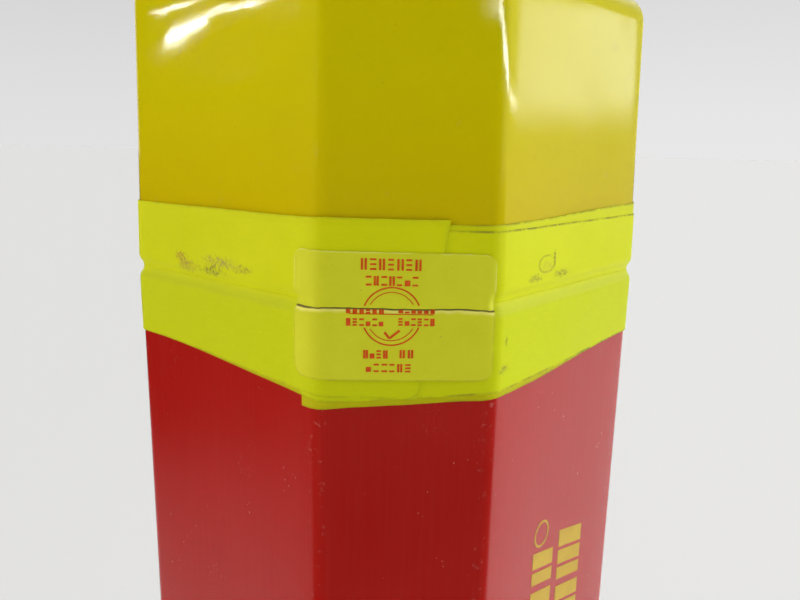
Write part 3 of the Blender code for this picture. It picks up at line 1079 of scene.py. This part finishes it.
def print_seal(name, upper, finish):
    """Plain blocks where a seal has its small print, and a ring with a tick."""

    def lift(position, off):
        return seal_lift(position, off) + PAPER

    def keep(position, off):
        above = off - crease(position)
        return above > CREASE_MARGIN if upper else above < -CREASE_MARGIN

    marks = Print(lift, keep)
    chance = random.Random(4)
    for row in SEAL_ROWS:
        left, right, low, high = (value * MM for value in row[:4])
        step = (right - left) / row[4]
        for index in range(row[4]):
            wide = step * (0.64 + 0.1 * chance.random())
            at = left + index * step
            drop = SEAL_ROW_DROP * (at - left)
            marks.sign(0, (at, at + wide, low - drop, high - drop), chance.choice(SEAL_SIGNS))
    marks.ring(0, SEAL_MARK, 3.3 * MM, 0.16 * MM, SEAL_MARK_BREAK)
    marks.ring(0, SEAL_MARK, 2.75 * MM, 0.09 * MM, SEAL_MARK_BREAK)
    for start, end, width, pieces in SEAL_STROKES:
        start, end = (
            tuple(middle + away * MM for middle, away in zip(SEAL_MARK, place))
            for place in (start, end)
        )
        marks.stroke(0, start, end, width * MM, pieces)
    return marks.made(name, finish)


# Upright lines of slanted blocks on two wide faces: left and right edge of the line, its top
# over the seam, and the heights of its blocks in order down the tube, in millimetres.
LEFT_BLOCKS = (2.4, 1.9, 2.6, 2.2, 1.8, 2.4) * 4
RIGHT_BLOCKS = (2.6, 2.2, 1.9, 2.4, 2.6, 1.9, 2.4, 2.6, 2.2, 1.9) * 2
TUBE_LINES = (
    (12.2 * MM, 17.8 * MM, -36.0 * MM, LEFT_BLOCKS),
    (19.4 * MM, 26.0 * MM, -35.4 * MM, RIGHT_BLOCKS),
)
BLOCK_GAP = 0.5 * MM
WORD_GAP = 1.1 * MM
BLOCK_SLANT = 0.22
TUBE_RING = (14.2 * MM, -33.75 * MM)


def print_tube(name, face, finish):
    """Two upright lines of plain slanted blocks and a small ring at their top."""

    def lift(position, off):
        return panel_sink(position, SEAM + off)

    marks = Print(lift)
    for left, right, high, heights in TUBE_LINES:
        for height in heights:
            low = high - height * MM
            marks.bar(face, left, right, low, high, rise=-BLOCK_SLANT, columns=6)
            high = low - (BLOCK_GAP if height > 2 else WORD_GAP)
    marks.ring(face, TUBE_RING, 1.9 * MM, 0.32 * MM)
    return marks.made(name, finish)


def printing():
    seal_ink = ink("seal_ink", (0.74, 0.115, 0.004), (0.62, 0.06, 0.003), 900.0)
    tube_ink = ink("tube_ink", (0.62, 0.42, 0.055), (0.56, 0.36, 0.04), 350.0)
    for name, body in (("seal_print_upper", "cap"), ("seal_print_lower", "container")):
        made = print_seal(name, body == "cap", seal_ink)
        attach(made, body)
    for name, face in (("tube_print_right", 1), ("tube_print_back_left", 5)):
        made = print_tube(name, face, tube_ink)
        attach(made, "container")


def tape_and_seal():
    film = tape_film()
    paper = seal_paper()
    for name, body, make, finish in (
        ("tape_upper_film", "cap", tape_half, film),
        ("tape_lower_film", "container", tape_half, film),
        ("seal_upper_paper", "cap", seal_half, paper),
        ("seal_lower_paper", "container", seal_half, paper),
    ):
        made = make(name, "upper" in name, finish)
        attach(made, body)
        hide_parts("_".join(name.split("_")[:2]))


# ---- electrodes


def electrode(name, low, high, coating, wire, seed):
    """One electrode with its bevelled tip, coating, brushed grip shoulder and bare grip end."""
    phase = random.Random(seed).random() * 6.28
    centre = (Vector(low) + Vector(high)) / 2
    radius = (high[0] - low[0]) / 2
    length = high[2] - low[2]
    coated = length - GRIP_LENGTH
    core = CORE_RADIUS
    # Each ring's radius, its height, and whether the wire is bare there.
    profile = [
        (core * 0.55, 0.0, True),
        (core, 0.3 * MM, True),
        (core + 0.1 * MM, 0.35 * MM, False),
        (radius - 0.25 * MM, 1.2 * MM, False),
        (radius, 1.8 * MM, False),
        (radius, coated * 0.5, False),
        (radius, coated - 3.2 * MM, False),
        (radius - 0.2 * MM, coated - 2.2 * MM, False),
        (radius - 0.8 * MM, coated - 1.0 * MM, False),
        (core + 0.35 * MM, coated - 0.15 * MM, False),
        (core, coated, True),
        (core, coated + GRIP_LENGTH * 0.5, True),
        (core, length - 0.5 * MM, True),
        (core * 0.93, length - 0.15 * MM, True),
        (core * 0.8, length, True),
    ]
    points = []
    for row, (wide, height, bare) in enumerate(profile):
        for side in range(ELECTRODE_SIDES):
            angle = side / ELECTRODE_SIDES * 2 * math.pi
            rough = 0.0
            if row in BRUSHED_RINGS and not bare:
                place = Vector((math.cos(angle) * 2, math.sin(angle) * 2, seed))
                rough = BRUSHED * noise.noise(place)
            reach = wide + (rough if wide < radius else -abs(rough) * 0.3)
            x = centre.x + reach * math.cos(angle + phase)
            y = centre.y + reach * math.sin(angle + phase)
            points.append((x, y, low[2] + min(max(height + rough * 2, 0.0), length)))
    finish_of = [1, 1]
    for below, above in zip(profile, profile[1:]):
        finish_of += [int(below[2] and above[2])] * ELECTRODE_SIDES
    faces = ring_faces(len(profile), ELECTRODE_SIDES)
    return new_object(name, points, faces, coating, wire, sharp=35.0, finish_of=finish_of)


def electrodes():
    coating = electrode_coating()
    wire = core_wire()
    nodes = sorted(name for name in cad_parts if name.startswith("electrode"))
    for seed, node in enumerate(nodes):
        low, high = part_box(node)
        made = electrode("coated_" + node, low, high, coating, wire, seed)
        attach(made, "container")
        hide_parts(node)


# ---- the set


SKY_BASE = 0.11
# Lobes of soft light: their direction, the cosines between which they fade in, strength and tint.
SOFT_LIGHTS = (
    ((-0.919, -0.195, 0.342), (0.85, 0.99), 4.32, (1.0, 0.93, 0.82)),
    ((0.993, 0.12, 0.0), (0.5, 0.95), 4.5, (0.97, 1.0, 1.03)),
    ((0.0, 0.0, 1.0), (0.4, 0.95), 0.17, (1.0, 1.0, 1.0)),
    ((0.0, 0.97, 0.24), (0.3, 0.95), 0.92, (1.0, 1.0, 1.0)),
)
BACKDROP = 0.776
# What the camera sees behind the floor: its level at the left, and how it changes upwards and to
# the right. Each is a direction, the cosines that it changes between, and by how much.
BACKDROP_LEFT = BACKDROP - 0.02
BACKDROP_FALLS = (((0.0, 0.0, 1.0), -0.02, 0.3, -0.13), ((1.0, 0.0, 0.0), -0.35, 0.45, 0.05))
FLOOR_SHADE = 0.80
FLOOR_FALL = (0.945, 1.0)
FLOOR_REACH = 40.0
CAMERA_PLACE = Vector((-7.71 * MM, -113.74 * MM, SEAM + 16.78 * MM))
CAMERA_LENS = 33.3
CAMERA_TURN = -4.92
CAMERA_TILT = 90 - 11.71
CAMERA_ROLL = 1.17
# What glossy surfaces mirror: a room that is dark in front of the canister, its walls behind,
# above and on the right, which fade in like the soft lights, and panels of light. A panel has a
# direction, half its width and height, its roll in degrees, how soft its edge is, and a strength.
MIRRORED_ROOM = 0.012
MIRRORED_WALLS = (
    ((0.0, 1.0, 0.0), 0.36, 0.75, BACKDROP),
    ((0.0, 0.0, 1.0), 0.5, 0.95, 0.8),
    ((1.0, 0.0, 0.0), 0.75, 0.95, 0.26),
)
MIRRORED_PANELS = (
    ((0.95, 0.30, 0.14), (0.085, 0.075), 0.0, 0.40, 1.55),
    ((-0.974, 0.180, 0.137), (0.019, 0.0075), 45.0, 0.5, 30.0),
    ((-0.976, 0.125, 0.180), (0.050, 0.0028), 30.0, 0.5, 28.0),
    ((-0.960, 0.205, 0.188), (0.022, 0.003), 25.0, 0.5, 30.0),
    ((0.545, -0.839, 0.200), (0.30, 0.010), -4.4, 0.4, 18.0),
    ((0.927, -0.375, 0.146), (0.36, 0.011), -4.6, 0.4, 18.0),
    ((0.988, 0.156, 0.100), (0.06, 0.005), -18.0, 0.5, 9.0),
)


class Sky(Nodes):
    """The world's shader, which works from directions alone."""

    def __init__(self, tree):
        super().__init__(tree)
        self.direction = self.add("ShaderNodeTexCoord").outputs["Generated"]

    def along(self, axis):
        return self.vector("DOT_PRODUCT", self.direction, axis)

    def eased(self, value, low, high, to=1.0):
        return self.remap(value, low, high, 0.0, to, "SMOOTHSTEP")

    def soft_light(self):
        total = (SKY_BASE, SKY_BASE, SKY_BASE)
        for axis, fade, strength, tint in SOFT_LIGHTS:
            lobe = self.eased(self.along(axis), *fade, strength)
            total = self.vector("ADD", self.vector("SCALE", tint, lobe), total)
        return total

    def panel(self, axis, halves, roll, softness, strength):
        """A soft-edged panel of light round a direction, rolled about it."""
        ahead = Vector(axis).normalized()
        side = Vector((0.0, 0.0, 1.0)).cross(ahead).normalized()
        side.rotate(Matrix.Rotation(math.radians(roll), 3, ahead))
        depth = self.math("MAXIMUM", self.along(ahead), 0.001)
        light = self.eased(self.along(ahead), 0.0, 0.1, strength)
        for across, half in zip((side, ahead.cross(side)), halves):
            off = self.math("ABSOLUTE", self.math("DIVIDE", self.along(across), depth))
            fade = self.eased(off, half * (1 + softness), half * (1 - softness))
            light = self.times(light, fade)
        return light

    def mirrored(self):
        walls = [self.eased(self.along(axis), *fade) for axis, *fade in MIRRORED_WALLS]
        total = self.plus(self.math("MAXIMUM", *walls[:2]), MIRRORED_ROOM)
        total = self.plus(total, walls[2])
        for panel in MIRRORED_PANELS:
            total = self.plus(total, self.panel(*panel))
        return total


def sky():
    """Soft light from both sides. The camera sees a plain pale backdrop, and gloss mirrors a room
    that is dark in front of the canister and bright behind it, with a window on the right."""
    world = bpy.data.worlds.new("studio_sky")
    bpy.context.scene.world = world
    world.use_nodes = True
    world.cycles.sampling_method = "NONE"
    nodes = Sky(world.node_tree)
    rays = nodes.add("ShaderNodeLightPath").outputs
    light = nodes.mix(rays["Is Glossy Ray"], nodes.soft_light(), nodes.mirrored())
    falls = [nodes.eased(nodes.along(axis), *fade) for axis, *fade in BACKDROP_FALLS]
    backdrop = nodes.plus(nodes.plus(*falls), BACKDROP_LEFT)
    seen = nodes.mix(rays["Is Camera Ray"], light, backdrop)
    nodes.put(nodes.tree.nodes["Background"], "Color", seen)


def floor():
    """A pale paper floor that runs to the horizon. In mirror reflections it is dark in front of
    the canister and far away on its left, as the room is."""
    far = FLOOR_REACH
    corners = [(-far, -far, 0.0), (far, -far, 0.0), (far, far, 0.0), (-far, far, 0.0)]
    paint = Paint("floor_paper")
    dark = tuple(FLOOR_SHADE * share for share in (0.99, 0.99, 0.985))
    light = tuple(FLOOR_SHADE * share for share in (1.01, 1.01, 1.01))
    place = paint.axes()
    # Painted shade: the floor's colour is darker towards the left.
    falls = paint.remap(place["X"], -0.35, 0.35, *FLOOR_FALL)
    pale = paint.vector("SCALE", paint.mix(paint.noise(900.0, 3.0), dark, light), falls)
    in_front = paint.remap(place["Y"], 0.02, -0.12)
    far_left = paint.remap(place["X"], -0.28, -0.8)
    far_right = paint.remap(place["X"], 1.2, 2.2)
    paint.base = paint.mix(paint.remap(place["X"], 0.0, 0.2), pale, (1.0, 1.0, 1.0))
    paint.cover(far_right, (0.3, 0.3, 0.3))
    paint.cover(paint.math("MAXIMUM", in_front, far_left, clamp=True), (0.012, 0.012, 0.012))
    mirrored = paint.add("ShaderNodeLightPath").outputs["Is Glossy Ray"]
    paint.base = paint.mix(mirrored, pale, paint.base)
    finish = paint.finish(Roughness=1.0, Specular_IOR_Level=0.0)
    made = new_object("floor", corners, [(0, 1, 2, 3)], finish)


def camera():
    data = bpy.data.cameras.new("camera")
    data.lens = CAMERA_LENS
    data.clip_start = 0.01
    made = bpy.data.objects.new("camera", data)
    turn = Matrix.Rotation(math.radians(CAMERA_TURN), 4, "Z")
    tilt = Matrix.Rotation(math.radians(CAMERA_TILT), 4, "X")
    roll = Matrix.Rotation(math.radians(CAMERA_ROLL), 4, "Z")
    made.matrix_world = Matrix.Translation(CAMERA_PLACE) @ turn @ tilt @ roll
    bpy.context.scene.collection.objects.link(made)
    bpy.context.scene.camera = made


def build():
    red = red_plastic()
    yellow = yellow_plastic()
    for name, body, z, up, finish, slot in (
        ("cap_gate_mark", "cap", TOP - TOP_DISH, 1, yellow, "yellow_plastic"),
        ("base_gate_mark", "container", BASE_RECESS, -1, red, "red_plastic"),
    ):
        mark = gate_mark(name, z, up, finish)
        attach(mark, body)
    tube = tube_shell(red)
    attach(tube, "container")
    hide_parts("container_body")
    lid = cap_shell(yellow)
    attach(lid, "cap")
    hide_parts("cap")
    tape_and_seal()
    printing()
    electrodes()
    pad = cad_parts["base_pad"]
    pad.data.materials.clear()
    pad.data.materials.append(pad_board())
    floor()
    sky()
    camera()
    bpy.context.scene.view_settings.view_transform = "Standard"


build()
